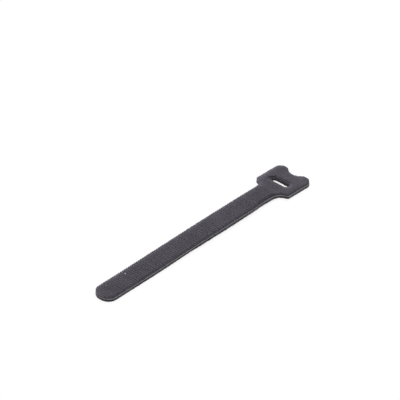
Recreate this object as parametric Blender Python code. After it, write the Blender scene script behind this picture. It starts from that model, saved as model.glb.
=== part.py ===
"""Hook and loop cable tie: a strap with a slotted butterfly head, lying hook face up.

Two tapes are bonded back to back and die-cut to one outline. The lower one is a brushed
loop knit. The upper one is a moulded film that carries rows of double-sided hooks, which
run across the strap and are cut through wherever the outline or the slot meets them.

X runs along the strap with the head at +X, Y across it and Z up, in metres. The origin is
on the resting plane, midway between the tail's tip and the tips of the head's ears. The
tail rests flat, the strap rises in a low arch, and the ears come down to rest again.
"""

import math

import bmesh
import bpy
import numpy as np
from mathutils import Matrix

# Die-cut outline
TIE_LENGTH = 0.1500
STRAP_WIDTH = 0.0120
TAIL_CORNER_RADIUS = 0.0054
HEAD_LENGTH = 0.0190
HEAD_WIDTH = 0.0224
SHOULDER_RADIUS = 0.0009
FLARE_LENGTH = 0.0056
FLARE_RADIUS = 0.0050
EAR_RADIUS = 0.0040
NOTCH_DEPTH = 0.0031

# Slot in the head, which the tail passes through
SLOT_CLEARANCE = 0.0001
SLOT_WIDTH = 0.0045
SLOT_CORNER_RADIUS = 0.0020
SLOT_TO_EAR_TIPS = 0.0129

# Build-up of the laminate, from the resting plane upwards
LOOP_THICKNESS = 0.00165
LOOP_EDGE_RADIUS = 0.00030
BOND_LINE = 0.00003
FILM_THICKNESS = 0.00025
HOOK_HEIGHT = 0.00092

# Hook rows, in the section along the strap
ROW_PITCH = 0.00150
STEM_WIDTH = 0.00042
CROWN_WIDTH = 0.00106
CROWN_HEIGHT = 0.00055
CROWN_FLAT_WIDTH = 0.00030
TIP_DROP = 0.00012
TIP_THICKNESS = 0.00014
HOOK_INSET = 0.00008
HOOK_EDGE_RADIUS = 0.00012

# Lie of the strap on a level surface
ARCH_HEIGHT = 0.0008
TAIL_REST_LENGTH = 0.0100
ARCH_TOP_TO_EAR_TIPS = 0.0530

# Fineness of the model, and how far a cutter runs past what it cuts
ARC_STEP = math.radians(12)
CROWN_ARC_POINTS = 3
ROWS_PER_BEND = 3
OVERRUN = 0.001
LEAST_RADIUS = 0.0001
WELD_DISTANCE = 1e-7
FLAT_ANGLE = math.radians(0.5)

# Places that follow from the sizes above
TAIL_X = -TIE_LENGTH / 2
EAR_X = TIE_LENGTH / 2
SHOULDER_X = EAR_X - HEAD_LENGTH
NECK_X = SHOULDER_X - FLARE_LENGTH
SLOT_X = EAR_X - SLOT_TO_EAR_TIPS
SLOT_LENGTH = STRAP_WIDTH + SLOT_CLEARANCE
FILM_Z = LOOP_THICKNESS + BOND_LINE
ROW_ROOT_Z = FILM_Z + FILM_THICKNESS / 2
TOP_Z = FILM_Z + FILM_THICKNESS + HOOK_HEIGHT


def clear_scene():
    """Remove every object that the scene starts with."""
    for obj in list(bpy.data.objects):
        bpy.data.objects.remove(obj)


def new_collection(name, hidden=False):
    """Add a collection to the scene."""
    collection = bpy.data.collections.new(name)
    collection.hide_render = hidden
    bpy.context.scene.collection.children.link(collection)
    return collection


def new_material(name, color, roughness):
    """A nylon with the given base colour and roughness."""
    material = bpy.data.materials.new(name)
    material.use_nodes = True
    shader = material.node_tree.nodes["Principled BSDF"]
    shader.inputs["Base Color"].default_value = (*color, 1)
    shader.inputs["Roughness"].default_value = roughness
    shader.inputs["Metallic"].default_value = 0
    return material


def arc(center, radius, start, end):
    """Points of a round stretch from one angle to another, in radians."""
    count = max(3, math.ceil(abs(end - start) / ARC_STEP) + 1)
    angles = np.linspace(start, end, count)
    return np.array(center) + radius * np.stack([np.cos(angles), np.sin(angles)], axis=1)


def without_repeats(points):
    """A closed run of points, less those that lie on the one before."""
    steps = points - np.roll(points, 1, axis=0)
    return points[np.hypot(steps[:, 0], steps[:, 1]) > WELD_DISTANCE]


def neck_and_shoulder(inset):
    """The flare from the strap's side out to the head's side.

    An arc leaves the strap, a straight run is its tangent through the shoulder's corner,
    and a small arc rounds that corner. The flare's radius is limited so that the corner
    stays outside its circle.
    """
    rise = (HEAD_WIDTH - STRAP_WIDTH) / 2
    largest = (FLARE_LENGTH**2 + rise**2) / (2 * rise)
    radius = min(FLARE_RADIUS, 0.95 * largest)
    center = (NECK_X, STRAP_WIDTH / 2 + radius)
    distance = math.hypot(FLARE_LENGTH, rise - radius)
    bearing = math.atan2(rise - radius, FLARE_LENGTH)
    touch = bearing - math.acos(radius / distance)
    heading = touch + math.pi / 2
    flare = arc(center, radius + inset, -math.pi / 2, touch)

    round_off = max(SHOULDER_RADIUS - inset, LEAST_RADIUS)
    corner_x = SHOULDER_X + (inset + round_off) * math.tan(heading / 2)
    corner_center = (corner_x, HEAD_WIDTH / 2 - inset - round_off)
    shoulder = arc(corner_center, round_off, math.pi / 2 + heading, math.pi / 2)
    return np.concatenate([flare, shoulder])


def ear_and_notch(inset):
    """An ear's round end, and the hollow between the ears down to the centre line.

    The notch's radius is the one that touches both ears at the given depth.
    """
    ear_radius = min(EAR_RADIUS, HEAD_WIDTH / 4)
    ear_center = (EAR_X - ear_radius, HEAD_WIDTH / 2 - ear_radius)
    depth = min(NOTCH_DEPTH, ear_radius)
    hollow = depth**2 - 2 * ear_radius * depth + ear_center[1] ** 2
    notch_radius = hollow / (2 * depth)
    notch_center = (EAR_X - depth + notch_radius, 0.0)
    meeting = math.atan2(-ear_center[1], notch_center[0] - ear_center[0])
    return np.concatenate(
        [
            arc(ear_center, ear_radius - inset, math.pi / 2, 0),
            arc(ear_center, ear_radius - inset, 0, meeting)[1:],
            arc(notch_center, notch_radius + inset, meeting + math.pi, math.pi)[1:],
        ]
    )


def outline(inset):
    """The closed outline of the tie, symmetric about the strap's centre line.

    An inset draws it that far inside the cut edge: round corners shrink by it, and hollow
    ones grow by it.
    """
    radius = min(TAIL_CORNER_RADIUS, STRAP_WIDTH / 2)
    center = (TAIL_X + radius, STRAP_WIDTH / 2 - radius)
    tail = arc(center, radius - inset, math.pi, math.pi / 2)
    upper = np.concatenate([tail, neck_and_shoulder(inset), ear_and_notch(inset)])
    lower = upper[-2::-1] * [1, -1]
    return without_repeats(np.concatenate([upper, lower]))


def slot_outline(inset):
    """The slot's edge, a rectangle with round corners; an inset draws it wider."""
    radius = min(SLOT_CORNER_RADIUS, SLOT_WIDTH / 2)
    half_x = SLOT_WIDTH / 2 - radius
    half_y = SLOT_LENGTH / 2 - radius
    centers = ((half_x, half_y), (-half_x, half_y), (-half_x, -half_y), (half_x, -half_y))
    corners = [
        arc((SLOT_X + x, y), radius + inset, turn * math.pi / 2, (turn + 1) * math.pi / 2)
        for turn, (x, y) in enumerate(centers)
    ]
    return without_repeats(np.concatenate(corners))


def flat_curve(name, outlines, thickness, edge_radius, collection):
    """A filled flat curve with a thickness and rounded edges; outlines may be holes."""
    data = bpy.data.curves.new(name, "CURVE")
    data.dimensions = "2D"
    data.fill_mode = "BOTH"
    data.extrude = thickness / 2 - edge_radius
    data.bevel_depth = edge_radius
    data.bevel_resolution = 1
    for points in outlines:
        spline = data.splines.new("POLY")
        spline.points.add(len(points) - 1)
        spline.use_cyclic_u = True
        for point, (x, y) in zip(spline.points, points):
            point.co = (x, y, 0, 1)
    curve = bpy.data.objects.new(name, data)
    collection.objects.link(curve)
    return curve


def to_mesh_object(source, name, collection):
    """Replace an object by a welded mesh of its evaluated shape, in world space.

    Each flat side becomes one face again, so that no cut leaves stray points on it.
    """
    bpy.context.view_layer.update()
    graph = bpy.context.evaluated_depsgraph_get()
    mesh = bpy.data.meshes.new_from_object(source.evaluated_get(graph))
    mesh.transform(source.matrix_world)
    mesh.name = name
    bpy.data.objects.remove(source)
    shape = bmesh.new()
    shape.from_mesh(mesh)
    bmesh.ops.remove_doubles(shape, verts=shape.verts, dist=WELD_DISTANCE)
    bmesh.ops.recalc_face_normals(shape, faces=shape.faces)
    bmesh.ops.dissolve_limit(
        shape, angle_limit=FLAT_ANGLE, verts=shape.verts, edges=shape.edges
    )
    shape.to_mesh(mesh)
    shape.free()
    solid = bpy.data.objects.new(name, mesh)
    collection.objects.link(solid)
    return solid


def tape_blank(name, bottom, top, edge_radius, inset, collection):
    """A plain tape between two heights, cut to the tie's outline and slot."""
    drawn = inset + edge_radius
    outlines = [outline(drawn), slot_outline(drawn)]
    curve = flat_curve(name + "_outline", outlines, top - bottom, edge_radius, collection)
    curve.location.z = (bottom + top) / 2
    return to_mesh_object(curve, name, collection)


def gap_centers():
    """X of the middle of each gap between hook rows, counted out from the tie's middle."""
    count = math.ceil(TIE_LENGTH / 2 / ROW_PITCH) + 1
    return (np.arange(-count, count) + 0.5) * ROW_PITCH


def gap_profile(center):
    """Section of the space between two rows of hooks, as points in X and height.

    The gap is wide between the stems. It closes in at the crowns' turned-down tips, and
    opens again over their backs, which are quarter ellipses.
    """
    half_pitch = ROW_PITCH / 2
    half_crown = CROWN_WIDTH / 2
    tip_z = TOP_Z - CROWN_HEIGHT
    back_z = tip_z + TIP_DROP
    turns = np.linspace(0, math.pi / 2, CROWN_ARC_POINTS)
    back_x = CROWN_FLAT_WIDTH / 2 + (CROWN_WIDTH - CROWN_FLAT_WIDTH) / 2 * np.cos(turns)
    back_height = back_z + (TOP_Z - back_z) * np.sin(turns)
    crown = [
        (STEM_WIDTH / 2, FILM_Z),
        (STEM_WIDTH / 2, back_z),
        (half_crown - TIP_THICKNESS, tip_z),
        *zip(back_x, back_height),
        (CROWN_FLAT_WIDTH / 2, TOP_Z + OVERRUN),
    ]
    right = [(half_pitch - x, z) for x, z in crown]
    left = [(-x, z) for x, z in reversed(right)]
    return np.array(right + left) + [center, 0]


def row_gap_cutter(collection):
    """Every gap between hook rows, as one comb of bars that run across the tie."""
    profiles = [gap_profile(center) for center in gap_centers()]
    length = HEAD_WIDTH + 2 * OVERRUN
    curve = flat_curve("row_gaps_section", profiles, length, 0, collection)
    curve.rotation_euler.x = math.pi / 2
    return to_mesh_object(curve, "row_gaps", collection)


def slab_cutter(top, depth, collection):
    """A box that takes away everything below a height."""
    bpy.ops.mesh.primitive_cube_add(size=1)
    slab = bpy.context.object
    slab.name = "below_rows"
    sides = (TIE_LENGTH + 2 * OVERRUN, HEAD_WIDTH + 2 * OVERRUN, depth, 1)
    slab.data.transform(Matrix.Diagonal(sides))
    slab.location.z = top - depth / 2
    for owner in list(slab.users_collection):
        owner.objects.unlink(slab)
    collection.objects.link(slab)
    return slab


def add_boolean(obj, operation, other):
    """Cut or join another object, which is then hidden."""
    modifier = obj.modifiers.new(operation.lower() + "_" + other.name, "BOOLEAN")
    modifier.operation = operation
    modifier.solver = "EXACT"
    modifier.object = other
    other.hide_render = True
    other.display_type = "WIRE"


def lift(x):
    """Height of the strap's underside above the resting plane at a place along it.

    It is nought under the tail, follows a smooth step up to the top of the arch, and comes
    down along a quarter cosine to the tips of the ears.
    """
    top_x = EAR_X - ARCH_TOP_TO_EAR_TIPS
    start_x = TAIL_X + TAIL_REST_LENGTH
    rise = min(max((x - start_x) / (top_x - start_x), 0), 1)
    fall = min(max((x - top_x) / ARCH_TOP_TO_EAR_TIPS, 0), 1)
    return ARCH_HEIGHT * rise**2 * (3 - 2 * rise) * math.cos(fall * math.pi / 2)


def lay_on_arch(obj):
    """Bend a flat tape along the arch, with a line across it in a gap every few rows."""
    shape = bmesh.new()
    shape.from_mesh(obj.data)
    for x in gap_centers()[::ROWS_PER_BEND]:
        whole = shape.verts[:] + shape.edges[:] + shape.faces[:]
        bmesh.ops.bisect_plane(shape, geom=whole, plane_co=(x, 0, 0), plane_no=(1, 0, 0))
    for vertex in shape.verts:
        vertex.co.z += lift(vertex.co.x)
    bmesh.ops.triangulate(shape, faces=shape.faces)
    shape.to_mesh(obj.data)
    shape.free()


def finish(obj, material):
    """Give a node its material and smooth its rounded edges."""
    obj.data.materials.clear()
    obj.data.materials.append(material)
    obj.data.shade_smooth()
    obj.data.set_sharp_from_angle(angle=math.radians(35))


def make_loop_tape(collection):
    """The brushed loop knit under the film."""
    tape = tape_blank("loop_tape", 0, LOOP_THICKNESS, LOOP_EDGE_RADIUS, 0, collection)
    lay_on_arch(tape)
    finish(tape, new_material("brushed nylon loop knit", (0.055, 0.053, 0.060), 0.95))


def make_hook_tape(collection, cutters):
    """The moulded film with its rows of hooks, whose roots sink halfway into the film.

    The rows start as one solid field that is rounded on all its edges. The slab takes off
    the lower rounding, and the comb parts the field into rows.
    """
    field_foot = ROW_ROOT_Z - HOOK_EDGE_RADIUS
    field = tape_blank(
        "hook_field", field_foot, TOP_Z, HOOK_EDGE_RADIUS, HOOK_INSET, cutters
    )
    slab = slab_cutter(ROW_ROOT_Z, HOOK_EDGE_RADIUS + OVERRUN, cutters)
    add_boolean(field, "DIFFERENCE", slab)
    add_boolean(field, "DIFFERENCE", row_gap_cutter(cutters))
    film = tape_blank("film", FILM_Z, FILM_Z + FILM_THICKNESS, 0, 0, collection)
    add_boolean(film, "UNION", field)
    tape = to_mesh_object(film, "hook_tape", collection)
    lay_on_arch(tape)
    finish(tape, new_material("moulded nylon hooks", (0.080, 0.077, 0.088), 0.6))


def main():
    """Build the two tapes of the tie."""
    clear_scene()
    parts = new_collection("hook_and_loop_cable_tie")
    cutters = new_collection("cutters", hidden=True)
    make_loop_tape(parts)
    make_hook_tape(parts, cutters)


main()
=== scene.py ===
"""Looks of the hook and loop cable tie: a die-cut strap of two tapes, lying hook face up.

The tie rides on one body. A brushed loop knit lies underneath, as a closed ground with a
pile of loops on its underside and along its cut edges. A moulded film lies on it and
carries rows of double-sided hooks, each one a shape of its own, trimmed by the same die.
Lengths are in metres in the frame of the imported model, with the head at +X and Z up.
"""

import logging
import math
from collections.abc import Callable, Sequence
from dataclasses import dataclass, replace
from enum import Enum

import bpy
import numpy as np
from bpy.types import Material, Node, NodeSocket, NodeTree, Object
from mathutils import Matrix, Vector
from mathutils.geometry import delaunay_2d_cdt


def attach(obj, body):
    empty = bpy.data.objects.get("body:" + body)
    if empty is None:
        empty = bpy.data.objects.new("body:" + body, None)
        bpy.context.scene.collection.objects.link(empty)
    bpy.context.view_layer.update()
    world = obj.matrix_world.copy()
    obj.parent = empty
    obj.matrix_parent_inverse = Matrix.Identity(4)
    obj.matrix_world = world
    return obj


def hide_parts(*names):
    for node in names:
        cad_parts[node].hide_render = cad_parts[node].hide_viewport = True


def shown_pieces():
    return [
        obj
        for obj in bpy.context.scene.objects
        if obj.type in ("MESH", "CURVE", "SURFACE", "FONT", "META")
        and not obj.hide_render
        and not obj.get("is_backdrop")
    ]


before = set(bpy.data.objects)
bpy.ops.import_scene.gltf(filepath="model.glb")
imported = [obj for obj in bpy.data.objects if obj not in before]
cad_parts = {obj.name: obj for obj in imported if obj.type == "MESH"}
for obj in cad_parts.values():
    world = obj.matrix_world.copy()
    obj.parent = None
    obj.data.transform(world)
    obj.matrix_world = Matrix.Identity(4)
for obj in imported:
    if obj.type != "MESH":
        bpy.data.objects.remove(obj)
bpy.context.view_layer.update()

MM = 0.001
ROOT = "root"
# The least distance that a direction is worked out over.
TINY = 1e-7
# How many points are measured against the cut at once.
BATCH = 4000
# How strongly nylon bends light; cotton is close to it.
FIBRE_IOR = 1.53
# The Mix node's colour sockets by number, as their names stand for other sockets too.
MIX_A, MIX_B, MIX_RESULT = 6, 7, 2
# The setting of a Map Range node that rises smoothly.
SMOOTH = {"interpolation_type": "SMOOTHSTEP"}
WHITE = (1.0, 1.0, 1.0, 1.0)

Array = np.ndarray
Pair = tuple[float, float]
Places = tuple[Pair, ...]
log = logging.getLogger("cable_tie")


class Slot(Enum):
    """Names of the material slots of the record."""

    LOOP_TAPE = "loop_tape"
    HOOK_TAPE = "hook_tape"


def linear(hex_colour: str) -> tuple[float, float, float, float]:
    """Turn an sRGB hex value into a linear colour.

    Each channel c is c / 12.92 up to 0.04045, and ((c + 0.055) / 1.055) ** 2.4 above it.

    Args:
        hex_colour: A colour such as "#504e54".

    Returns:
        Red, green, blue and an alpha of one.
    """
    values = np.array([int(hex_colour[i : i + 2], 16) for i in (1, 3, 5)]) / 255
    curved = ((values + 0.055) / 1.055) ** 2.4
    return (*np.where(values <= 0.04045, values / 12.92, curved).tolist(), 1.0)


def add_node(
    tree: NodeTree, kind: str, settings: dict | None = None, sockets: dict | None = None
) -> Node:
    """Add a node with its settings, and set or link its inputs.

    Args:
        tree: The node tree that the node goes into.
        kind: The node's type, such as "ShaderNodeTexNoise".
        settings: The node's own settings by name.
        sockets: Values or output sockets by the input's name or number.

    Returns:
        The new node.
    """
    node = tree.nodes.new(kind)
    for name, value in (settings or {}).items():
        setattr(node, name, value)
    for name, value in (sockets or {}).items():
        if isinstance(value, NodeSocket):
            tree.links.new(value, node.inputs[name])
        else:
            node.inputs[name].default_value = value
    return node


def smooth_step(share: Array) -> Array:
    """A share held between 0 and 1 and made smooth at both ends: t ** 2 * (3 - 2 * t)."""
    share = np.clip(share, 0, 1)
    return share**2 * (3 - 2 * share)


def soft_noise(points: Array, wavelength: float, seed: int) -> Array:
    """Smooth random relief: the scaled sum of 24 plane waves with random headings.

    Each wave is cos(k * heading . point + phase), with k near 2 pi / wavelength.

    Args:
        points: One point a row, in two or three dimensions.
        wavelength: The mean distance between crests.
        seed: Seed of the random headings.

    Returns:
        One value a point, mostly between -1 and 1.
    """
    waves, spread = 24, (0.7, 1.4)
    rng = np.random.default_rng(seed)
    headings = rng.normal(size=(waves, points.shape[1]))
    headings /= np.linalg.norm(headings, axis=1, keepdims=True)
    headings *= (2 * math.pi / wavelength * rng.uniform(*spread, waves))[:, None]
    phases = rng.uniform(0, 2 * math.pi, waves)
    return np.cos(points @ headings.T + phases).sum(axis=1) / math.sqrt(2 * waves)


def out_of_cut(plan: Array, depth: Array, edge: Array) -> Array:
    """Unit directions out of the cut at each point: (edge - point) / its signed depth."""
    scale = np.sign(depth) / np.maximum(np.abs(depth), TINY)
    return (edge - plan) * scale[:, None]


def new_piece(
    name: str,
    points: Array,
    faces: Sequence[Array],
    materials: Sequence[Material],
    smooth: bool = True,
) -> Object:
    """Make one piece of the tie that rides on its body.

    Args:
        name: The piece's name.
        points: One point a row.
        faces: Arrays of corner numbers, one face a row; array n wears material n.
        materials: The piece's materials; the last one serves any further arrays.
        smooth: Whether its faces are shaded smooth.

    Returns:
        The piece, at the origin and unscaled.
    """
    mesh = bpy.data.meshes.new(name)
    mesh.from_pydata(points.tolist(), [], [f for group in faces for f in group.tolist()])
    for material in materials:
        mesh.materials.append(material)
    worn = np.repeat(np.arange(len(faces)), [len(group) for group in faces])
    worn = np.minimum(worn, len(materials) - 1).astype(np.int32)
    mesh.polygons.foreach_set("material_index", worn)
    mesh.update()
    if smooth:
        mesh.shade_smooth()
    piece = bpy.data.objects.new(name, mesh)
    bpy.context.scene.collection.objects.link(piece)
    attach(piece, ROOT)
    return piece


def put_attribute(piece: Object, name: str, values: Array) -> None:
    """Keep one number a point on a piece, for its material to read."""
    attribute = piece.data.attributes.new(name, "FLOAT", "POINT")
    attribute.data.foreach_set("value", values.astype(np.float32))


def copies(faces: Array, count: int, size: int) -> Array:
    """A template's faces, repeated for each of count copies of its size points."""
    starts = np.arange(count)[:, None, None] * size
    return (faces[None] + starts).reshape(-1, faces.shape[1])


@dataclass(frozen=True)
class DieCut:
    """The die's outline with its slot, and the low arch that the cut strap lies in."""

    length: float = 150.0 * MM
    strap_width: float = 12.0 * MM
    tail_radius: float = 5.4 * MM
    head_length: float = 19.0 * MM
    head_width: float = 22.4 * MM
    shoulder_radius: float = 0.9 * MM
    least_radius: float = 0.05 * MM
    flare_length: float = 5.6 * MM
    flare_radius: float = 5.0 * MM
    ear_radius: float = 4.0 * MM
    notch_depth: float = 3.1 * MM
    slot_length: float = 12.1 * MM
    slot_width: float = 4.5 * MM
    slot_radius: float = 2.0 * MM
    slot_to_ears: float = 12.9 * MM
    arch_height: float = 0.8 * MM
    tail_rest: float = 10.0 * MM
    arch_top_to_ears: float = 53.0 * MM
    wander_middle: float = 44.5 * MM
    wander_reach: float = 8.0 * MM
    wander_fade: float = 4.4 * MM
    wander_side: float = 2.5 * MM
    wander_side_fade: float = 3.5 * MM
    wander_depth: float = 0.5 * MM
    arc_step: float = math.radians(4)

    def arc(self, center: Pair, radius: float, start: float, end: float) -> Array:
        """Points at center + radius * (cos, sin) from one angle to another."""
        angles = np.linspace(start, end, max(3, math.ceil(abs(end - start) / self.arc_step) + 1))
        return np.array(center) + radius * np.stack([np.cos(angles), np.sin(angles)], axis=1)

    def outline(self, inset: float) -> Array:
        """The closed outline, clockwise from the tail, drawn inset from the cut edge.

        Round corners shrink by the inset and hollow ones grow by it. The flare is an arc
        off the strap's side with a straight tangent into the shoulder's small corner,
        and the notch is the arc that touches both ears at its depth.

        Args:
            inset: How far inside the cut edge it is drawn.

        Returns:
            Points in the plan, one a row.
        """
        quarter = math.pi / 2
        tail_x, ear_x = -self.length / 2, self.length / 2
        half, head = self.strap_width / 2, self.head_width / 2
        tail_center = (tail_x + self.tail_radius, half - self.tail_radius)
        tail = self.arc(tail_center, self.tail_radius - inset, math.pi, quarter)

        rise = head - half
        shoulder_x = ear_x - self.head_length
        neck_x = shoulder_x - self.flare_length
        reach = math.hypot(self.flare_length, rise - self.flare_radius)
        bearing = math.atan2(rise - self.flare_radius, self.flare_length)
        touch = bearing - math.acos(self.flare_radius / reach)
        heading = touch + quarter
        flare_center = (neck_x, half + self.flare_radius)
        flare = self.arc(flare_center, self.flare_radius + inset, -quarter, touch)
        corner = max(self.shoulder_radius - inset, self.least_radius)
        corner_x = shoulder_x + (inset + corner) * math.tan(heading / 2)
        corner_center = (corner_x, head - inset - corner)
        shoulder = self.arc(corner_center, corner, quarter + heading, quarter)

        ear_center = (ear_x - self.ear_radius, head - self.ear_radius)
        hollow = self.notch_depth**2 - 2 * self.ear_radius * self.notch_depth
        notch_radius = (hollow + ear_center[1] ** 2) / (2 * self.notch_depth)
        notch_center = (ear_x - self.notch_depth + notch_radius, 0.0)
        meeting = math.atan2(-ear_center[1], notch_center[0] - ear_center[0])
        ear = self.arc(ear_center, self.ear_radius - inset, quarter, meeting)
        notch = self.arc(notch_center, notch_radius + inset, meeting + math.pi, math.pi)[1:]
        upper = np.concatenate([tail, flare, shoulder, ear, notch])
        return np.concatenate([upper, upper[-2::-1] * [1, -1]])

    def slot(self, inset: float) -> Array:
        """The slot's edge, counter-clockwise: four round corners joined by straights.

        Args:
            inset: How far outside the slot, inside the material, it is drawn.

        Returns:
            Points in the plan, one a row.
        """
        quarter = math.pi / 2
        half_x = self.slot_width / 2 - self.slot_radius
        half_y = self.slot_length / 2 - self.slot_radius
        middle = self.length / 2 - self.slot_to_ears
        corners = []
        for turn, (sx, sy) in enumerate(((1, 1), (-1, 1), (-1, -1), (1, -1))):
            center = (middle + sx * half_x, sy * half_y)
            radius = self.slot_radius + inset
            corners.append(self.arc(center, radius, turn * quarter, (turn + 1) * quarter))
        return np.concatenate(corners)

    def area(self) -> float:
        """The cut's flat area: half the sum of x * dy - y * dx, less that of the slot.

        Returns:
            The area in square metres.
        """
        total = 0.0
        for loop, sign in ((self.outline(0.0), 1), (self.slot(0.0), -1)):
            ahead = np.roll(loop, -1, axis=0)
            total += sign * abs((loop[:, 0] * ahead[:, 1] - ahead[:, 0] * loop[:, 1]).sum()) / 2
        return total

    def grid_points(self, step: float) -> Array:
        """Points of a square grid over the cut's box, a step apart."""
        sides = [np.arange(-side / 2, side / 2, step) for side in (self.length, self.head_width)]
        return np.stack(np.meshgrid(*sides, indexing="ij"), axis=2).reshape(-1, 2)

    def wander(self, plan: Array) -> Array:
        """Move points as the cut wanders inwards beside the neck, on the -Y side.

        A point moves towards +Y by wander_depth, times a share that falls smoothly from
        1 to 0 along the strap away from wander_middle, times one that falls to 0 across.

        Args:
            plan: Points in the plan, one a row.

        Returns:
            The moved points.
        """
        away = np.abs(plan[:, 0] - self.wander_middle)
        share = smooth_step((self.wander_reach - away) / self.wander_fade)
        side = np.clip((-plan[:, 1] - self.wander_side) / self.wander_side_fade, 0, 1)
        moved = plan.copy()
        moved[:, 1] += self.wander_depth * share * side
        return moved

    def lift(self, x: Array) -> Array:
        """Height of the strap's underside: a smooth step up, then a quarter cosine down.

        Args:
            x: Places along the strap.

        Returns:
            One height a place.
        """
        top_x = self.length / 2 - self.arch_top_to_ears
        start_x = self.tail_rest - self.length / 2
        rise = smooth_step((x - start_x) / (top_x - start_x))
        fall = np.clip((x - top_x) / self.arch_top_to_ears, 0, 1)
        return self.arch_height * rise * np.cos(fall * math.pi / 2)

    def depth(self, plan: Array, inset: float = 0.0) -> tuple[Array, Array]:
        """How far points lie inside the cut, and the nearest place on its edge.

        The distance is to the nearest stretch of the outline or the slot. It is negative
        where a line towards +X crosses the edges an even number of times.

        Args:
            plan: Points in the plan, one a row.
            inset: The inset that the edges are drawn at.

        Returns:
            One signed distance a point, and one place on the edge a point.
        """
        loops = [self.outline(inset), self.slot(inset)]
        starts = np.concatenate(loops)
        runs = np.concatenate([np.roll(loop, -1, axis=0) for loop in loops]) - starts
        squares = (runs**2).sum(axis=1)
        depths, places = [], []
        for part in np.array_split(plan, len(plan) // BATCH + 1):
            offsets = part[:, None] - starts
            along = np.clip((offsets * runs).sum(axis=2) / squares, 0, 1)
            gaps = np.linalg.norm(offsets - along[..., None] * runs, axis=2)
            nearest = gaps.argmin(axis=1)
            rows = np.arange(len(part))
            spot = starts[nearest] + along[rows, nearest][:, None] * runs[nearest]
            below = starts[:, 1] > part[:, 1:2]
            spans = below != (starts[:, 1] + runs[:, 1] > part[:, 1:2])
            slopes = runs[:, 0] / np.where(runs[:, 1] == 0, 1, runs[:, 1])
            meets = starts[:, 0] + offsets[..., 1] * slopes > part[:, 0:1]
            inside = (spans & meets).sum(axis=1) % 2 == 1
            depths.append(np.where(inside, 1, -1) * gaps[rows, nearest])
            places.append(spot)
        return np.concatenate(depths), np.concatenate(places)


@dataclass(frozen=True)
class EdgeLoop:
    """A cut edge with evenly spaced points that stay paired at every inset."""

    draw: Callable[[float], Array]
    spacing: float

    def at(self, inset: float) -> Array:
        """Points of the edge drawn at an inset, with each side split into equal steps.

        Args:
            inset: How far inside the material it is drawn.

        Returns:
            Points in the plan, as many at every inset.
        """
        base, drawn = self.draw(0.0), self.draw(inset)
        lengths = np.linalg.norm(np.roll(base, -1, axis=0) - base, axis=1)
        parts = np.maximum(1, np.ceil(lengths / self.spacing)).astype(int)
        corner = np.repeat(np.arange(len(base)), parts)
        first = np.repeat(np.cumsum(parts) - parts, parts)
        share = ((np.arange(parts.sum()) - first) / parts[corner])[:, None]
        return drawn[corner] * (1 - share) + np.roll(drawn, -1, axis=0)[corner] * share

    def outward(self) -> Array:
        """Unit directions out of the material: the edge's heading turned to its left.

        Returns:
            One direction for each point of the edge.
        """
        ring = self.at(0.0)
        along = np.roll(ring, -1, axis=0) - np.roll(ring, 1, axis=0)
        along /= np.linalg.norm(along, axis=1, keepdims=True)
        return np.stack([-along[:, 1], along[:, 0]], axis=1)


@dataclass(frozen=True)
class Sheeting:
    """A closed flat layer: an edge profile carried round the cut, and its two faces."""

    cut: DieCut
    edge_step: float
    face_step: float
    clearance: float = 0.4

    def loops(self) -> list[EdgeLoop]:
        """The two edges of the cut, the outline and the slot."""
        return [EdgeLoop(draw, self.edge_step) for draw in (self.cut.outline, self.cut.slot)]

    def build(self, section: Array) -> tuple[Array, list[Array]]:
        """Carry a section of (inset, height) round both edges and close the two faces.

        The section runs from the top face round the edge to the underside, and starts
        and ends at the same inset, so both faces share one plan: the rings at that inset,
        and the grid points that lie at least clearance of a step inside them.

        Args:
            section: Insets and heights, one station a row.

        Returns:
            Points, and faces as the outline's rim, the slot's rim and the two faces.
        """
        stations = len(section)
        points, quads, rims, at = [], [], [], 0
        for loop in self.loops():
            rings = np.stack([loop.at(inset) for inset in section[:, 0]])
            count = rings.shape[1]
            heights = np.broadcast_to(section[:, 1, None, None], (stations, count, 1))
            points.append(np.concatenate([rings, heights], axis=2).reshape(-1, 3))
            here = at + np.arange(stations * count).reshape(stations, count)
            ahead = np.roll(here, -1, axis=1)
            ring = np.stack([here[:-1], ahead[:-1], ahead[1:], here[1:]], axis=2)
            quads.append(ring.reshape(-1, 4))
            rims.append(here)
            at += stations * count

        inset = section[0, 0]
        inner = self.cut.grid_points(self.face_step)
        inner[:, 1] += self.face_step / 4
        inner = inner[self.cut.depth(inner)[0] > inset + self.clearance * self.face_step]
        for height in (section[0, 1], section[-1, 1]):
            points.append(np.column_stack([inner, np.full(len(inner), height)]))
        number = at + np.arange(len(inner))
        upper = np.concatenate([*[rim[0] for rim in rims], number])
        lower = np.concatenate([*[rim[-1] for rim in rims], number + len(inner)])
        points = np.concatenate(points)
        triangles = self.fill(points[upper, :2], [rim.shape[1] for rim in rims], inset)
        return points, [*quads, upper[triangles], lower[triangles[:, ::-1]]]

    def fill(self, plan: Array, ring_sizes: list[int], inset: float) -> Array:
        """Triangles between the rings at the edges and the grid points inside them.

        Args:
            plan: Points in the plan, the rings' first.
            ring_sizes: How many points each ring has.
            inset: How far inside the cut the rings are drawn.

        Returns:
            Corner numbers, one triangle a row.
        """
        edges, start = [], 0
        for size in ring_sizes:
            ring = start + np.arange(size)
            edges.append(np.column_stack([ring, np.roll(ring, -1)]))
            start += size
        scaled = [Vector(point) for point in (plan / MM).tolist()]
        # Its triangles fill the hull, and points closer than 1e-6 mm are taken for one.
        whole_hull, closest = 0, 1e-6
        made = delaunay_2d_cdt(scaled, np.concatenate(edges).tolist(), [], whole_hull, closest)
        *_, corners, origins, _, _ = made
        triangles = np.array([origin[0] for origin in origins])[np.array(corners)]
        centers = plan[triangles].mean(axis=1)
        return triangles[self.cut.depth(centers, inset)[0] > 0]


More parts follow.
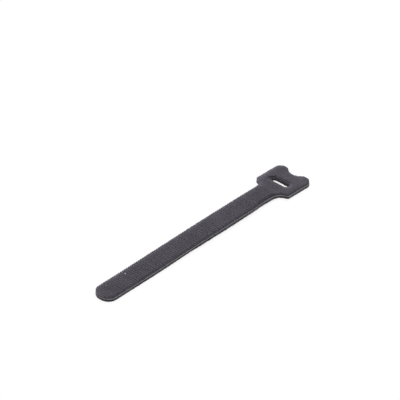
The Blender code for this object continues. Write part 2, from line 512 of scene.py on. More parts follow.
@dataclass(frozen=True)
class Finish:
    """A dyed fibre or film surface: two close tones in soft patches over a fine relief."""

    name: str
    light: str
    dark: str
    patch_size: float
    grain_size: float
    relief: float
    roughness: float
    sheen: float = 0.0

    def tone(self, tree: NodeTree, place: NodeSocket) -> NodeSocket:
        """The light tone's share at each place on the object: soft patches.

        Args:
            tree: The material's nodes.
            place: The place on the object.

        Returns:
            The share, from 0 to 1.
        """
        scale = {"Vector": place, "Scale": 1 / self.patch_size, "Detail": 3.0}
        patches = add_node(tree, "ShaderNodeTexNoise", sockets=scale).outputs["Fac"]
        spread = {"Value": patches, "From Min": 0.3, "From Max": 0.7}
        return add_node(tree, "ShaderNodeMapRange", sockets=spread).outputs["Result"]

    def colour(self, tree: NodeTree, place: NodeSocket) -> NodeSocket:
        """The dark tone mixed with the light one by the share that tone gives.

        Args:
            tree: The material's nodes.
            place: The place on the object.

        Returns:
            The colour.
        """
        tones = {MIX_A: linear(self.dark), MIX_B: linear(self.light)}
        settings = {"data_type": "RGBA", "clamp_factor": False}
        mixed = add_node(tree, "ShaderNodeMix", settings, {0: self.tone(tree, place), **tones})
        return mixed.outputs[MIX_RESULT]

    def make(self) -> Material:
        """Build the material: its colour, and a bump of fine grain.

        Returns:
            The material.
        """
        material = bpy.data.materials.new(self.name)
        material.use_nodes = True
        tree = material.node_tree
        shader = tree.nodes["Principled BSDF"]
        place = add_node(tree, "ShaderNodeTexCoord").outputs["Object"]
        scale = {"Vector": place, "Scale": 1 / self.grain_size, "Detail": 2.0}
        grain = add_node(tree, "ShaderNodeTexNoise", sockets=scale).outputs["Fac"]
        relief = {"Height": grain, "Distance": self.relief, "Strength": 1.0}
        bump = add_node(tree, "ShaderNodeBump", sockets=relief)
        tree.links.new(self.colour(tree, place), shader.inputs["Base Color"])
        tree.links.new(bump.outputs["Normal"], shader.inputs["Normal"])
        shader.inputs["Roughness"].default_value = self.roughness
        shader.inputs["Sheen Weight"].default_value = self.sheen
        shader.inputs["IOR"].default_value = FIBRE_IOR
        return material


@dataclass(frozen=True)
class HookFinish(Finish):
    """Moulded nylon hooks: each hook's own tone, and painted shade on stems and steep faces under
    light crowns.
    """

    # The dark colour of the painted shade, and how height and facing set it.
    deep: str = "#28262d"
    stem_share: float = 0.45
    crown_share: float = 0.98
    steep: float = 0.1
    level: float = 0.6
    least_lit: float = 0.45
    edge_reach: float = 2.0 * MM
    # A painted highlight that rises towards the cut edge.
    painted_edge_highlight: float = 0.40
    patch_share: float = 0.3
    # Lets painted shadow between flattened hooks go darker than the dark tone.
    darkest: float = -0.15

    def colour(self, tree: NodeTree, place: NodeSocket) -> NodeSocket:
        """The crown's colour, with painted shade: it falls to the deep one down the stem and on
        steep faces.

        Args:
            tree: The material's nodes.
            place: The place on the object.

        Returns:
            The colour.
        """
        height = add_node(tree, "ShaderNodeAttribute", {"attribute_name": "height"}).outputs["Fac"]
        span = {"From Min": self.stem_share, "From Max": self.crown_share}
        up = add_node(tree, "ShaderNodeMapRange", SMOOTH, {"Value": height, **span})
        normal = add_node(tree, "ShaderNodeNewGeometry").outputs["Normal"]
        facing = add_node(tree, "ShaderNodeSeparateXYZ", sockets={0: normal}).outputs["Z"]
        span = {"From Min": self.steep, "From Max": self.level, "To Min": self.least_lit}
        flat = add_node(tree, "ShaderNodeMapRange", SMOOTH, {"Value": facing, **span})
        both = {0: up.outputs["Result"], 1: flat.outputs["Result"]}
        lit = add_node(tree, "ShaderNodeMath", {"operation": "MULTIPLY"}, both).outputs[0]
        tones = {MIX_A: linear(self.deep), MIX_B: super().colour(tree, place)}
        mixed = add_node(tree, "ShaderNodeMix", {"data_type": "RGBA"}, {0: lit, **tones})
        return mixed.outputs[MIX_RESULT]

    def tone(self, tree: NodeTree, place: NodeSocket) -> NodeSocket:
        """Soft patches, plus the hook's own tone, plus a painted highlight rising towards the cut
        edge.

        Args:
            tree: The material's nodes.
            place: The place on the object.

        Returns:
            The light tone's share, held above that of the darkest hooks.
        """
        own = add_node(tree, "ShaderNodeAttribute", {"attribute_name": "tone"}).outputs["Fac"]
        depth = add_node(tree, "ShaderNodeAttribute", {"attribute_name": "depth"}).outputs["Fac"]
        # The painted highlight near the cut edge.
        span = {"From Min": 0.0, "From Max": self.edge_reach, "To Min": self.painted_edge_highlight}
        rise = add_node(tree, "ShaderNodeMapRange", SMOOTH, {"Value": depth, **span, "To Max": 0.0})
        steps = (
            ("MULTIPLY", self.patch_share),
            ("ADD", own),
            ("ADD", rise.outputs["Result"]),
            ("MAXIMUM", self.darkest),
        )
        total = super().tone(tree, place)
        for operation, value in steps:
            both = {0: total, 1: value}
            total = add_node(tree, "ShaderNodeMath", {"operation": operation}, both).outputs[0]
        return total


# Each finish: its name, light and dark tone, patch size, grain size, relief, roughness, sheen.
# Brushed loop knit of textured nylon, dyed nearly black: dull and deep between its loops.
KNIT = Finish("brushed_nylon_knit", "#37343a", "#28262b", 3 * MM, 0.35 * MM, 0.12 * MM, 0.95, 0.15)
# Nylon loop yarn, drawn at 0.08 mm where the real filaments are 0.03 mm, too fine to show.
LOOP_YARN = Finish("nylon_loop_yarn", "#4c4951", "#3c393f", 2 * MM, 0.2 * MM, 0.02 * MM, 0.8, 0.2)
# Nylon film as it leaves the mould roll: smooth, seen only between the rows of hooks.
FILM = Finish("moulded_nylon_film", "#4a474e", "#3e3b42", 4 * MM, 0.5 * MM, 0.01 * MM, 0.5)
# The film's edge as the die leaves it: drawn much paler than the film, so it reads as a thin pale
# line.
CUT_EDGE = Finish("die_cut_nylon_edge", "#a9a4aa", "#757079", 1.8 * MM, 0.5 * MM, 0.01 * MM, 0.45)
# The film's edge inside the slot: painted darker than the outer cut edge, as painted shade inside
# the slot.
SHADED_SLOT_EDGE = Finish("punched_edge_painted_shade", "#7b767d", "#67636a", 2.5 * MM, 0.5 * MM, 0.01 * MM, 0.5)
# The knit's bonded back coat, bared by the die: it widens the film's pale line downwards.
BACK_COAT = Finish("bonded_back_coat", "#827d85", "#5b575e", 1.6 * MM, 0.4 * MM, 0.02 * MM, 0.7)
# Moulded nylon hooks: satin and evenly grey; painted shade on stems and steep faces leaves the
# light on their rounded crowns.
HOOKS = HookFinish("moulded_nylon_hooks", "#58535f", "#2e2a35", 8 * MM, 0.3 * MM, 0.01 * MM, 0.65)
# Stray pale cotton lint that the hooks have picked up: soft and nearly white.
LINT = Finish("pale_cotton_lint", "#f1eeea", "#d8d4cf", 0.5 * MM, 0.1 * MM, 0.01 * MM, 0.9, 0.3)


@dataclass(frozen=True)
class LoopPile:
    """Yarn loops that stand on a ground: each one is a bent tube with both feet in it."""

    height: float
    span: float
    radius: float
    lean: float
    seed: int
    stations: int = 6
    sides: int = 3
    height_range: Pair = (0.7, 1.1)
    span_range: Pair = (0.7, 1.3)

    def build(self, feet: Array, outward: Array, lowest: Array) -> tuple[Array, list[Array]]:
        """Carry a round section along each loop's arch.

        An arch runs over t from 0 to pi: its place is foot - along * span / 2 * cos t
        + outward * height * sin t, and it leans sideways by lean * sin t.

        Args:
            feet: The middle between each loop's feet, one a row.
            outward: The direction each loop stands in, one a row.
            lowest: The least height that each loop's points may have.

        Returns:
            Points, and faces as the tubes' quads, then the triangles of their ends.
        """
        rng = np.random.default_rng(self.seed)
        count = len(feet)
        along = rng.normal(size=(count, 3))
        along -= outward * (along * outward).sum(axis=1, keepdims=True)
        along /= np.linalg.norm(along, axis=1, keepdims=True)
        across = np.cross(outward, along)
        height = self.height * rng.uniform(*self.height_range, (count, 1, 1))
        half_span = self.span / 2 * rng.uniform(*self.span_range, (count, 1, 1))
        lean = self.lean * rng.normal(size=(count, 1, 1))

        turns = np.linspace(0, math.pi, self.stations)[None, :, None]
        path = (
            feet[:, None]
            - along[:, None] * half_span * np.cos(turns)
            + outward[:, None] * height * np.sin(turns)
            + across[:, None] * lean * np.sin(turns)
        )
        radial = outward[:, None] * np.sin(turns) - along[:, None] * np.cos(turns)
        ring = np.arange(self.sides) / self.sides * 2 * math.pi
        tube = (
            path[:, :, None]
            + self.radius * np.cos(ring)[None, None, :, None] * radial[:, :, None]
            + self.radius * np.sin(ring)[None, None, :, None] * across[:, None, None]
        )
        size = self.stations * self.sides
        points = tube.reshape(-1, 3)
        points[:, 2] = np.maximum(points[:, 2], np.repeat(lowest, size))

        here = np.arange(size).reshape(self.stations, self.sides)
        ahead = np.roll(here, -1, axis=1)
        wall = np.stack([here[:-1], here[1:], ahead[1:], ahead[:-1]], axis=2).reshape(-1, 4)
        ends = np.stack([here[0], here[-1, ::-1]])
        return points, [copies(wall, count, size), copies(ends, count, size)]


@dataclass(frozen=True)
class LoopTape:
    """The brushed loop knit: its ground, the pile under it and the pile at its edges.

    The wave's places along the strap, and how far the knit swells there, are in mm.
    """

    cut: DieCut
    top: float = 1.65 * MM
    ground_bottom: float = 0.12 * MM
    side_inset: float = -0.06 * MM
    edge_step: float = 0.45 * MM
    face_step: float = 0.7 * MM
    edge_radius: float = 0.22 * MM
    edge_stations: int = 4
    coat_corner: float = 0.04 * MM
    coat_thickness: float = 0.20 * MM
    ripple: float = 0.03 * MM
    ripple_size: float = 1.3 * MM
    ripple_seed: int = 5
    side_top: float = 0.1 * MM
    side_fade: float = 0.3 * MM
    side_reach: float = 0.8 * MM
    wave_places: tuple[float, ...] = (-52, -41, -26, -15, -6, 13, 28, 37, 46, 54)
    wave_swells: tuple[float, ...] = (0, 0.12, 0, -0.25, 0.05, 0.33, 0.12, -0.15, 0.10, 0)
    under_spacing: float = 0.44 * MM
    under_shake: float = 0.45
    under_inset: float = 0.12 * MM
    under_seed: int = 21
    under_loops: LoopPile = LoopPile(0.18 * MM, 0.42 * MM, 0.042 * MM, 0.10 * MM, seed=30)
    edge_loops: LoopPile = LoopPile(0.14 * MM, 0.36 * MM, 0.04 * MM, 0.05 * MM, seed=33)
    edge_loops_per_mm: float = 11.0
    edge_clear: float = 0.06 * MM
    edge_seed: int = 22
    level_share: float = 0.6
    tilt: float = 0.8
    foot_depth: float = 0.03 * MM
    floor_gap: float = 0.01 * MM

    def sheeting(self) -> Sheeting:
        """The plan that the ground is built on."""
        return Sheeting(self.cut, self.edge_step, self.face_step)

    def swell(self, x: Array, out_y: Array) -> Array:
        """How far the soft knit swells past its cut on the sides that face -Y."""
        wave = np.interp(x / MM, self.wave_places, self.wave_swells) * MM
        return wave * np.clip(-out_y, 0, 1)

    def ground(self) -> Object:
        """Build the knit's closed body, with a bared back coat and slightly rippled sides.

        Its lower corner is a quarter circle. The sides move out by ripple * noise plus
        the swell, and the underside moves by the ripple alone.

        Returns:
            The piece.
        """
        round_off = np.linspace(0, math.pi / 2, self.edge_stations)
        inset = self.side_inset + self.edge_radius * (1 - np.cos(round_off))
        drop = self.edge_radius * (1 - np.sin(round_off))
        side, top, corner = self.side_inset, self.top, self.coat_corner
        coat_bottom = top - self.coat_thickness
        rim = [(side + self.edge_radius, top), (side + corner, top), (side, top - corner)]
        upper = np.array([*rim, (side, coat_bottom)])
        lower = np.column_stack([inset, self.ground_bottom + drop])
        points, faces = self.sheeting().build(np.concatenate([upper, lower]))
        coat_rows = len(faces[0]) // (len(upper) + len(lower) - 1) * (len(upper) - 1)
        faces = [faces[0][:coat_rows], faces[0][coat_rows:], *faces[1:]]

        side = np.clip((coat_bottom + self.side_top - points[:, 2]) / self.side_fade, 0, 1)
        swell = self.ripple * soft_noise(points, self.ripple_size, self.ripple_seed) * side
        depth, edge = self.cut.depth(points[:, :2])
        out = out_of_cut(points[:, :2], depth, edge)
        near = np.clip(1 - depth / self.side_reach, 0, 1)
        wave = self.swell(points[:, 0], out[:, 1]) * side
        points[:, :2] += out * ((swell + wave) * near)[:, None]
        points[:, 2] -= swell * (1 - near)
        points[:, :2] = self.cut.wander(points[:, :2])
        points[:, 2] += self.cut.lift(points[:, 0])
        materials = [BACK_COAT.make(), KNIT.make()]
        return new_piece("loop_ground", points, faces, materials)

    def under_pile(self, yarn: Material) -> list[Object]:
        """Build loops over the whole underside, on a shaken grid, in two halves.

        Args:
            yarn: The loops' material.

        Returns:
            The tail's piece and the head's.
        """
        rng = np.random.default_rng(self.under_seed)
        plan = self.cut.grid_points(self.under_spacing)
        shake = rng.uniform(-self.under_shake, self.under_shake, plan.shape)
        plan += shake * self.under_spacing
        plan = plan[self.cut.depth(plan)[0] > self.side_inset + self.under_inset]
        lift = self.cut.lift(plan[:, 0])
        feet = np.column_stack([plan, self.ground_bottom + self.foot_depth + lift])
        down = np.tile([0.0, 0.0, -1.0], (len(feet), 1))
        pieces = []
        middle = np.median(plan[:, 0])
        halves = {"tail": plan[:, 0] < middle, "head": plan[:, 0] >= middle}
        for number, (name, half) in enumerate(halves.items()):
            pile = replace(self.under_loops, seed=self.under_loops.seed + number)
            points, faces = pile.build(feet[half], down[half], lift[half] + self.floor_gap)
            pieces.append(new_piece("loop_pile_" + name, points, faces, [yarn]))
        return pieces

    def edge_pile(self, yarn: Material) -> Object:
        """Build loops cut open or bent along both edges, between the floor and the film.

        Loops low on the side tilt down and those near the film tilt up.

        Args:
            yarn: The loops' material.

        Returns:
            The piece.
        """
        rng = np.random.default_rng(self.edge_seed)
        highest = self.top - self.coat_thickness - self.edge_clear
        feet, outward = [], []
        for loop in self.sheeting().loops():
            ring, out = loop.at(self.side_inset), loop.outward()
            steps = np.linalg.norm(np.roll(ring, -1, axis=0) - ring, axis=1)
            count = int(steps.sum() / MM * self.edge_loops_per_mm)
            travel = np.sort(rng.uniform(0, steps.sum(), count))
            ends = np.cumsum(steps)
            index = np.minimum(np.searchsorted(ends, travel), len(ring) - 1)
            share = ((travel - ends[index] + steps[index]) / steps[index])[:, None]
            ahead = (index + 1) % len(ring)
            place = ring[index] * (1 - share) + ring[ahead] * share
            heading = out[index] * (1 - share) + out[ahead] * share
            height = rng.uniform(self.ground_bottom, highest, count)
            place += heading * self.swell(place[:, 0], heading[:, 1])[:, None]
            rise = (height - self.ground_bottom) / (self.top - self.ground_bottom)
            feet.append(np.column_stack([self.cut.wander(place), height]))
            outward.append(np.column_stack([heading, (rise - self.level_share) * self.tilt]))
        feet, outward = np.concatenate(feet), np.concatenate(outward)
        outward /= np.linalg.norm(outward, axis=1, keepdims=True)
        lift = self.cut.lift(feet[:, 0])
        feet[:, 2] += lift
        points, faces = self.edge_loops.build(feet, outward, lift + self.floor_gap)
        return new_piece("loop_pile_edge", points, faces, [yarn])

    def build(self) -> None:
        ground = self.ground()
        yarn = LOOP_YARN.make()
        pile = [*self.under_pile(yarn), self.edge_pile(yarn)]
        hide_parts("loop_tape")
        self.cut.area()


@dataclass(frozen=True)
class HookMarkLine:
    """A line over the hooks, through places in mm, for pressing, painted shade and lighter patches:
    strongest on the line itself.
    """

    places: Places
    width: float
    strength: float = 1.0

    def at(self, plan: Array) -> Array:
        """How strongly each point is marked: strength * exp(-(distance to the line / width) ** 2).

        Args:
            plan: Points in the plan, one a row.

        Returns:
            One value a point.
        """
        places = np.array(self.places) * MM
        gaps = []
        for start, end in zip(places[:-1], places[1:]):
            run = end - start
            share = np.clip((plan - start) @ run / (run @ run), 0, 1)
            gaps.append(np.linalg.norm(plan - start - share[:, None] * run, axis=1))
        return self.strength * np.exp(-((np.min(gaps, axis=0) / self.width) ** 2))


@dataclass(frozen=True)
class HookWearAndLight:
    """How use and painted light show on the hooks: which are pressed, and how light or dark.

    Two lines by the slot are pressed down, and painted shade lies beside the slot. Hooks are
    torn along the neck and the flare, with painted shadow between them, and bent along the
    edges that face -Y, with painted shade. Painted highlight lies along the edges that face
    +Y; one ear and the far shoulder are lighter. Tones are shares of the finish's light tone.
    """

    creased: HookMarkLine = HookMarkLine(((61.3, 7.2), (64.7, 5.1)), 0.38 * MM, 0.75)
    crushed: HookMarkLine = HookMarkLine(((64.6, -4.4), (64.6, 2.8)), 0.45 * MM, 0.55)
    # Painted shade beside the slot's far wall.
    shaded: HookMarkLine = HookMarkLine(((64.6, -4.4), (64.6, 2.8)), 1.3 * MM, 0.22)
    torn: HookMarkLine = HookMarkLine(((39.5, -5.4), (50, -5.5), (53.8, -7.6), (55.3, -9.8)), 0.9 * MM)
    # Two lighter patches, on one ear and at the far shoulder.
    ear_lighter_patch: HookMarkLine = HookMarkLine(((70.5, -8.0), (73.0, -5.0)), 2.5 * MM, 0.25)
    shoulder_lighter_patch: HookMarkLine = HookMarkLine(((55.5, 11.0), (62.5, 11.0)), 2.2 * MM, 0.50)
    torn_range: Pair = (0.2, 1.2)
    torn_depth: float = 0.4
    bent_depth: float = 0.30
    bent_reach: float = 0.85 * MM
    bent_range: Pair = (0.6, 1.4)
    # Painted shade on creased and bent hooks, and painted shadow between torn ones.
    creased_painted_shade: float = 1.4
    bent_painted_shade: float = 0.9
    torn_painted_shadow: float = 0.9
    # A painted highlight on the edges that face +Y, stronger on the head.
    far_edge_highlight_reach: float = 2.3 * MM
    far_edge_highlight: float = 0.36
    head_far_edge_highlight: float = 0.30
    head_tone: float = 0.16
    head_start: float = 48.0 * MM
    head_fade: float = 6.0 * MM
    own_tone: Pair = (0.10, 0.13)
    row_spread: float = 0.06
    row_seed: int = 40
    speckle: float = 0.16
    speckle_size: float = 1.7 * MM
    speckle_seed: int = 44

    def bent(self, depth: Array, out_y: Array) -> Array:
        """How far hooks beside the edges that face -Y are bent down, from 0 to 1."""
        return np.clip(-out_y, 0, 1) * np.exp(-((np.maximum(depth, 0) / self.bent_reach) ** 2))

    def painted_light_and_tone(self, plan: Array, depth: Array, out_y: Array) -> Array:
        """How much lighter or darker each hook is: painted light and shade, and lighter patches.

        A painted highlight falls from the edges that face +Y by exp(-(depth / reach) ** 2),
        and is stronger on the head, which is lighter as a whole. Two patches are lighter,
        and painted shade lies beside the slot.

        Args:
            plan: The middles of the hooks.
            depth: How far inside the cut they are.
            out_y: The Y part of the direction out of the cut.

        Returns:
            One tone a hook.
        """
        gap = np.maximum(depth, 0)
        far_edge_lit = np.clip(out_y, 0, 1) * np.exp(-((gap / self.far_edge_highlight_reach) ** 2))
        head = np.clip((plan[:, 0] - self.head_start) / self.head_fade, 0, 1)
        painted_light_and_tone = (self.far_edge_highlight + self.head_far_edge_highlight * head) * far_edge_lit + self.head_tone * head
        return painted_light_and_tone + self.ear_lighter_patch.at(plan) + self.shoulder_lighter_patch.at(plan) - self.shaded.at(plan)

    def stripes(self, plan: Array) -> Array:
        """Each row's own tone and soft speckles: rows are told apart to 0.1 mm.

        Args:
            plan: The middles of the hooks.

        Returns:
            One tone a hook.
        """
        rows, step = 2000, 0.1 * MM
        row = np.round(plan[:, 0] / step).astype(int) + rows // 2
        tones = np.random.default_rng(self.row_seed).normal(0, self.row_spread, rows)
        return tones[row] + self.speckle * soft_noise(plan, self.speckle_size, self.speckle_seed)


@dataclass(frozen=True)
class HookTape:
    """The moulded film with its rows of double-sided hooks, trimmed by the die."""

    cut: DieCut
    wear_and_light: HookWearAndLight = HookWearAndLight()
    film_bottom: float = 1.68 * MM
    film_thickness: float = 0.25 * MM
    film_corner: float = 0.02 * MM
    edge_step: float = 0.5 * MM
    face_step: float = 1.0 * MM
    hook_height: float = 0.92 * MM
    hook_thickness: float = 0.37 * MM
    row_pitch: float = 1.5 * MM
    pair_gap: float = 0.66 * MM
    hook_spacing: float = 0.40 * MM
    last_row: int = 101
    last_column: int = 29
    reach: float = 0.3 * MM
    least_left: float = 0.12 * MM
    trim: float = 0.01 * MM
    splay: float = 0.22 * MM
    splay_reach: float = 0.6 * MM
    lean: float = 0.035
    tall_range: Pair = (1.05, 1.10)
    wide_range: Pair = (0.94, 1.06)
    sharp_angle: float = math.radians(50)
    seed: int = 41

    def film(self) -> Object:
        """Build the film as a closed sheet with a fine broken corner and a pale cut edge.

        Returns:
            The piece.
        """
        bottom, corner = self.film_bottom, self.film_corner
        top = bottom + self.film_thickness
        section = [(corner, top), (0, top - corner), (0, bottom + corner), (corner, bottom)]
        sheeting = Sheeting(self.cut, self.edge_step, self.face_step)
        points, faces = sheeting.build(np.array(section))
        points[:, :2] = self.cut.wander(points[:, :2])
        points[:, 2] += self.cut.lift(points[:, 0])
        materials = [CUT_EDGE.make(), SHADED_SLOT_EDGE.make(), FILM.make()]
        return new_piece("hook_film", points, faces, materials, smooth=False)

    def profile(self) -> tuple[Array, Array]:
        """A hook's outline in X and height above the film, and its half thickness.

        The stem parts into two arms that curl out and down to their tips, like a palm.
        Each row below is a place in mm and a share of the hook's thickness.

        Returns:
            Points clockwise from the left foot, and half the thickness at each.
        """
        right = np.array(
            [
                (0.11, -0.10, 1.0),
                (0.10, 0.45, 0.90),
                (0.26, 0.48, 0.75),
                (0.36, 0.58, 0.80),
                (0.33, 0.76, 0.95),
                (0.18, 0.89, 1.00),
            ]
        )
        top = np.array([(0.0, self.hook_height / MM, 1.0)])
        shape = np.concatenate([right * [-1, 1, 1], top, right[::-1]])
        return shape[:, :2] * MM, shape[:, 2] * self.hook_thickness / 2

    def places(self) -> tuple[Array, Array, Array]:
        """Middles of the hooks in the plan: rows across the strap, every other one shifted.

        Returns:
            Places of the hooks that the die leaves, how far inside the cut they are, and
            the Y part of the direction from each one out of the cut.
        """
        rows = np.arange(-self.last_row, self.last_row + 1)
        ys = np.arange(-self.last_column, self.last_column + 1) * self.hook_spacing
        sign = np.where(rows % 2 == 0, -1, 1)
        xs = rows // 2 * self.row_pitch + sign * self.pair_gap / 2
        x, y = np.meshgrid(xs, ys, indexing="ij")
        y = y - sign[:, None] * self.hook_spacing / 4
        plan = np.column_stack([x.ravel(), y.ravel()])
        depth, edge = self.cut.depth(plan)
        kept = depth > -self.reach
        plan, depth, edge = plan[kept], depth[kept], edge[kept]
        return plan, depth, np.clip(out_of_cut(plan, depth, edge)[:, 1], -1, 1)

    def trimmed(self, flat: Array, z: Array, bent: Array) -> tuple[Array, Array]:
        """Draw the hooks' points back to the cut, and let their crowns splay over it.

        A point within splay_reach of the cut goes to edge - out * (depth - over), with a
        depth of trim at least. There over is splay * (height / hook_height) ** 2, falling
        to 0 at splay_reach and on bent hooks.

        Args:
            flat: The points' places in the plan, one a row.
            z: Their heights above the film, one hook a row.
            bent: How far each hook is bent down.

        Returns:
            The points' new places, and how far inside the cut they were.
        """
        depth, edge = self.cut.depth(flat)
        kept = np.maximum(depth, self.trim)
        over = self.splay * np.clip(z / self.hook_height, 0, 1) ** 2 * (1 - bent[:, None])
        over = over.ravel() * np.clip(1 - kept / self.splay_reach, 0, 1)
        drawn = edge - out_of_cut(flat, depth, edge) * (kept - over)[:, None]
        near = (kept < self.splay_reach)[:, None]
        return self.cut.wander(np.where(near, drawn, flat)), depth

    def hooks(self, name: str, plan: Array, depth: Array, out_y: Array, seed: int) -> None:
        """Build hooks at the given places, each with its own height, lean and tone.

        A hook's profile is carried over its thickness. Its points move along and across
        by lean * height. Pressed, bent and torn hooks are lower. Painted shade darkens the
        creased and bent ones and those beside the slot, and painted shadow the torn ones;
        a painted highlight lightens those near the edges that face +Y, and the head and two
        patches are lighter.

        Args:
            name: The piece's name.
            plan: The middles of the hooks.
            depth: How far inside the cut they are.
            out_y: The Y part of the direction out of the cut.
            seed: Seed of their small differences.
        """
        wear_and_light = self.wear_and_light
        rng = np.random.default_rng(seed)
        count = len(plan)
        shape, half = self.profile()
        size = len(shape)
        side = np.repeat([1.0, -1.0], size)
        local = np.column_stack([np.tile(shape[:, 0], 2), side * np.tile(half, 2)])
        height = np.tile(shape[:, 1], 2)

        bent = wear_and_light.bent(depth, out_y)
        creased = wear_and_light.creased.at(plan)
        torn = wear_and_light.torn.at(plan) * rng.uniform(*wear_and_light.torn_range, count)
        lowered = np.maximum(creased, wear_and_light.crushed.at(plan))
        lowered = np.maximum(lowered, wear_and_light.bent_depth * bent + wear_and_light.torn_depth * torn)
        tall = rng.uniform(*self.tall_range, count) * (1 - lowered)
        z = np.where(height > 0, height * tall[:, None], height)
        lean = rng.normal(0, self.lean, (count, 2))
        wide = rng.uniform(*self.wide_range, (count, 1))
        x = plan[:, :1] + local[:, 0] * wide + lean[:, :1] * z
        y = plan[:, 1:] + local[:, 1] + lean[:, 1:] * z
        flat, inside = self.trimmed(np.column_stack([x.ravel(), y.ravel()]), z, bent)
        root = self.film_bottom + self.film_thickness + self.cut.lift(flat[:, 0])
        points = np.column_stack([flat, root + z.ravel()])
        left = inside.reshape(count, -1).max(axis=1) > self.least_left
        points = points.reshape(count, -1, 3)[left].reshape(-1, 3)
        count = int(left.sum())

        ring = np.arange(size)
        ahead = np.roll(ring, -1)
        wall = np.stack([ring + size, ahead + size, ahead, ring], axis=1)
        ends = np.stack([ring, ring[::-1] + size])
        faces = [copies(wall, count, 2 * size), copies(ends, count, 2 * size)]
        piece = new_piece(name, points, faces, [self.finish])
        piece.data.set_sharp_from_angle(angle=self.sharp_angle)

        # Painted shade on creased and bent hooks and painted shadow between torn ones; the tone
        # adds painted light at the edges and by the slot.
        shade = wear_and_light.bent_painted_shade * bent[left] * rng.uniform(*wear_and_light.bent_range, count)
        shade += wear_and_light.creased_painted_shade * creased[left] + wear_and_light.torn_painted_shadow * torn[left]
        tone = rng.normal(*wear_and_light.own_tone, count) + wear_and_light.stripes(plan[left])
        tone += wear_and_light.painted_light_and_tone(plan, depth, out_y)[left] - shade
        put_attribute(piece, "tone", np.repeat(tone, 2 * size))
        put_attribute(piece, "depth", np.repeat(depth[left], 2 * size))
        put_attribute(piece, "height", np.tile(height / self.hook_height, count))

    @property
    def finish(self) -> Material:
        """The hooks' material, made once and shared by the three fields of hooks."""
        return bpy.data.materials.get(HOOKS.name) or HOOKS.make()

    def build(self) -> None:
        """Build the film and the three fields of hooks on it."""
        film = self.film()
        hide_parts("hook_tape")
        plan, depth, out_y = self.places()
        neck = self.cut.length / 2 - self.cut.head_length - self.cut.flare_length
        field = (plan[:, 0] > 0).astype(int) + (plan[:, 0] > neck)
        for number, name in enumerate(("hooks_tail", "hooks_strap", "hooks_head")):
            chosen = field == number
            self.hooks(name, plan[chosen], depth[chosen], out_y[chosen], self.seed + number)


@dataclass(frozen=True)
class Lint:
    """Tiny tufts of pale fibre caught on the hooks and on two corners of the cut.

    Each spot is X, Y and height in mm, the number of fibres, and their spread in mm.
    """

    cut: DieCut
    spots: tuple[tuple[float, float, float, int, float], ...] = (
        (-53.1, 3.4, 2.80, 18, 0.13),
        (-53.3, 4.9, 2.75, 5, 0.16),
        (-67.0, 3.3, 2.85, 3, 0.09),
        (56.3, 10.8, 2.25, 12, 0.16),
        (56.6, -11.1, 1.85, 4, 0.08),
    )
    fibres: LoopPile = LoopPile(
        0.22 * MM, 0.36 * MM, 0.035 * MM, 0.08 * MM, seed=52, stations=9, sides=5
    )
    heading_spread: tuple[float, float, float] = (0.8, 0.8, 0.3)
    upright: float = 0.5
    sink: float = 0.1 * MM
    seed: int = 51

    def build(self) -> None:
        """Build curled fibres at each spot, as loops that stand every way but mostly up."""
        rng = np.random.default_rng(self.seed)
        spots = np.array(self.spots)
        owner = np.repeat(np.arange(len(spots)), spots[:, 3].astype(int))
        shaken = rng.normal(size=(len(owner), 2)) * spots[owner, 4:5]
        plan = (spots[owner, :2] + shaken) * MM
        feet = np.column_stack([plan, spots[owner, 2] * MM + self.cut.lift(plan[:, 0])])
        outward = rng.normal(size=feet.shape) * self.heading_spread + [0, 0, self.upright]
        outward /= np.linalg.norm(outward, axis=1, keepdims=True)
        points, faces = self.fibres.build(feet, outward, feet[:, 2] - self.sink)
        new_piece("caught_lint", points, faces, [LINT.make()])


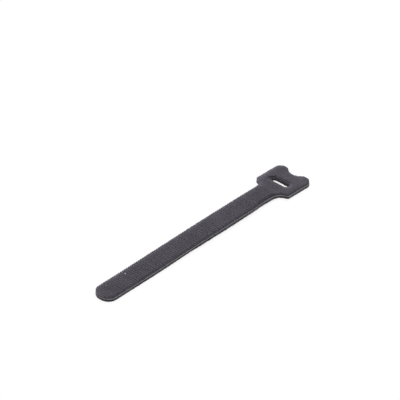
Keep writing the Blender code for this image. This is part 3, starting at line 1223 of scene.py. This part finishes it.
@dataclass(frozen=True)
class Studio:
    """A pale floor under soft light, and the camera at the photograph's angle."""

    azimuth: float = -48.866
    elevation: float = 35.996
    roll: float = 1.792
    distance: float = 1.7849
    pixels_per_metre: float = 1944.0
    origin_pixel: Pair = (200.578, 236.559)
    frame_pixels: float = 400.0
    sensor_width: float = 36.0
    clip: Pair = (0.05, 20.0)
    floor_reach: float = 3.0
    floor_white_share: float = 0.86
    world_strength: float = 0.40
    lamp_size: float = 1.6
    lamp_power: float = 18.0
    lamp_place: tuple[float, float, float] = (0.15, 0.15, 1.3)

    def seen(self, tree: NodeTree) -> NodeSocket:
        """One for a ray from the camera, off a glossy face or through a clear one.

        Args:
            tree: The node tree that the answer is for.

        Returns:
            The socket with the answer.
        """
        rays = add_node(tree, "ShaderNodeLightPath").outputs
        seen = rays["Is Camera Ray"]
        for kind in ("Is Glossy Ray", "Is Transmission Ray"):
            both = {0: seen, 1: rays[kind]}
            seen = add_node(tree, "ShaderNodeMath", {"operation": "MAXIMUM"}, both).outputs[0]
        return seen

    def floor(self) -> None:
        """Build a level pale floor that looks white to the camera but keeps some shadow."""
        corners = np.array([(-1, -1, 0), (1, -1, 0), (1, 1, 0), (-1, 1, 0)]) * self.floor_reach
        mesh = bpy.data.meshes.new("floor")
        mesh.from_pydata(corners.tolist(), [], [(0, 1, 2, 3)])
        floor = bpy.data.objects.new("floor", mesh)
        bpy.context.scene.collection.objects.link(floor)
        floor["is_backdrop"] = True
        material = bpy.data.materials.new("pale_floor")
        material.use_nodes = True
        tree = material.node_tree
        tree.nodes.clear()
        share = {0: self.seen(tree), 1: self.floor_white_share}
        share = add_node(tree, "ShaderNodeMath", {"operation": "MULTIPLY"}, share).outputs[0]
        paint = add_node(tree, "ShaderNodeBsdfDiffuse", sockets={0: WHITE}).outputs[0]
        white = add_node(tree, "ShaderNodeEmission").outputs[0]
        mixed = add_node(tree, "ShaderNodeMixShader", sockets={0: share, 1: paint, 2: white})
        add_node(tree, "ShaderNodeOutputMaterial", sockets={0: mixed.outputs[0]})
        mesh.materials.append(material)

    def world(self) -> None:
        """Build an even white surround: full white to the camera, softer as light."""
        world = bpy.data.worlds.new("white_surround")
        world.use_nodes = True
        tree = world.node_tree
        tree.nodes.clear()
        light = {0: WHITE, 1: self.world_strength}
        soft = add_node(tree, "ShaderNodeBackground", sockets=light).outputs[0]
        white = add_node(tree, "ShaderNodeBackground", sockets={0: WHITE, 1: 1.0}).outputs[0]
        shaders = {0: self.seen(tree), 1: soft, 2: white}
        mixed = add_node(tree, "ShaderNodeMixShader", sockets=shaders)
        add_node(tree, "ShaderNodeOutputWorld", sockets={0: mixed.outputs[0]})
        bpy.context.scene.world = world

    def lamp(self) -> None:
        """Hang one large soft lamp overhead, a little behind the tie as the camera sees it."""
        light = bpy.data.lights.new("overhead_softbox", "AREA")
        light.shape = "SQUARE"
        light.size = self.lamp_size
        light.energy = self.lamp_power
        lamp = bpy.data.objects.new("overhead_softbox", light)
        place = Vector(self.lamp_place)
        turn = place.to_track_quat("Z", "Y").to_matrix().to_4x4()
        lamp.matrix_world = Matrix.Translation(place) @ turn
        bpy.context.scene.collection.objects.link(lamp)

    def camera(self) -> None:
        """Place the photograph's camera by its azimuth, elevation, roll and distance.

        It stands at back * distance from the origin and looks at the point that brings
        the origin to its pixel in the frame, so that it needs no shift.
        """
        az, el, roll = (math.radians(a) for a in (self.azimuth, self.elevation, self.roll))
        level_reach = math.cos(el)
        back = Vector((math.sin(az) * level_reach, -math.cos(az) * level_reach, math.sin(el)))
        level = Vector((math.cos(az), math.sin(az), 0))
        upright = back.cross(level)
        right = level * math.cos(roll) + upright * math.sin(roll)
        up = -level * math.sin(roll) + upright * math.cos(roll)
        middle = self.frame_pixels / 2
        offset_x = (middle - self.origin_pixel[0]) / self.pixels_per_metre
        offset_y = (self.origin_pixel[1] - middle) / self.pixels_per_metre
        eye = back * self.distance
        toward = (right * offset_x + up * offset_y - eye).normalized()
        right = toward.cross(up).normalized()
        up = right.cross(toward)

        data = bpy.data.cameras.new("photo_camera")
        frame_width = self.frame_pixels / self.pixels_per_metre
        data.sensor_width = self.sensor_width
        data.lens = self.sensor_width * self.distance / frame_width
        data.clip_start, data.clip_end = self.clip
        camera = bpy.data.objects.new("photo_camera", data)
        axes = Matrix((right, up, -toward)).transposed().to_4x4()
        camera.matrix_world = Matrix.Translation(eye) @ axes
        bpy.context.scene.collection.objects.link(camera)
        bpy.context.scene.camera = camera

    def build(self) -> None:
        """Build the floor, the surround, the lamp and the camera."""
        self.floor()
        self.world()
        self.lamp()
        self.camera()
        bpy.context.scene.view_settings.view_transform = "Standard"


def main() -> None:
    """Build the tie's two tapes and the studio, and report each piece."""
    logging.basicConfig(level=logging.INFO, format="%(message)s")
    cut = DieCut()
    for part in (LoopTape(cut), HookTape(cut), Lint(cut), Studio()):
        part.build()
        log.info("built %s", type(part).__name__)
    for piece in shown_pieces():
        mesh = piece.data
        log.info("%s: %d triangles", piece.name, len(mesh.loops) - 2 * len(mesh.polygons))
    log.info("flat area %.1f square mm", cut.area() / MM**2)


if __name__ == "__main__":
    main()
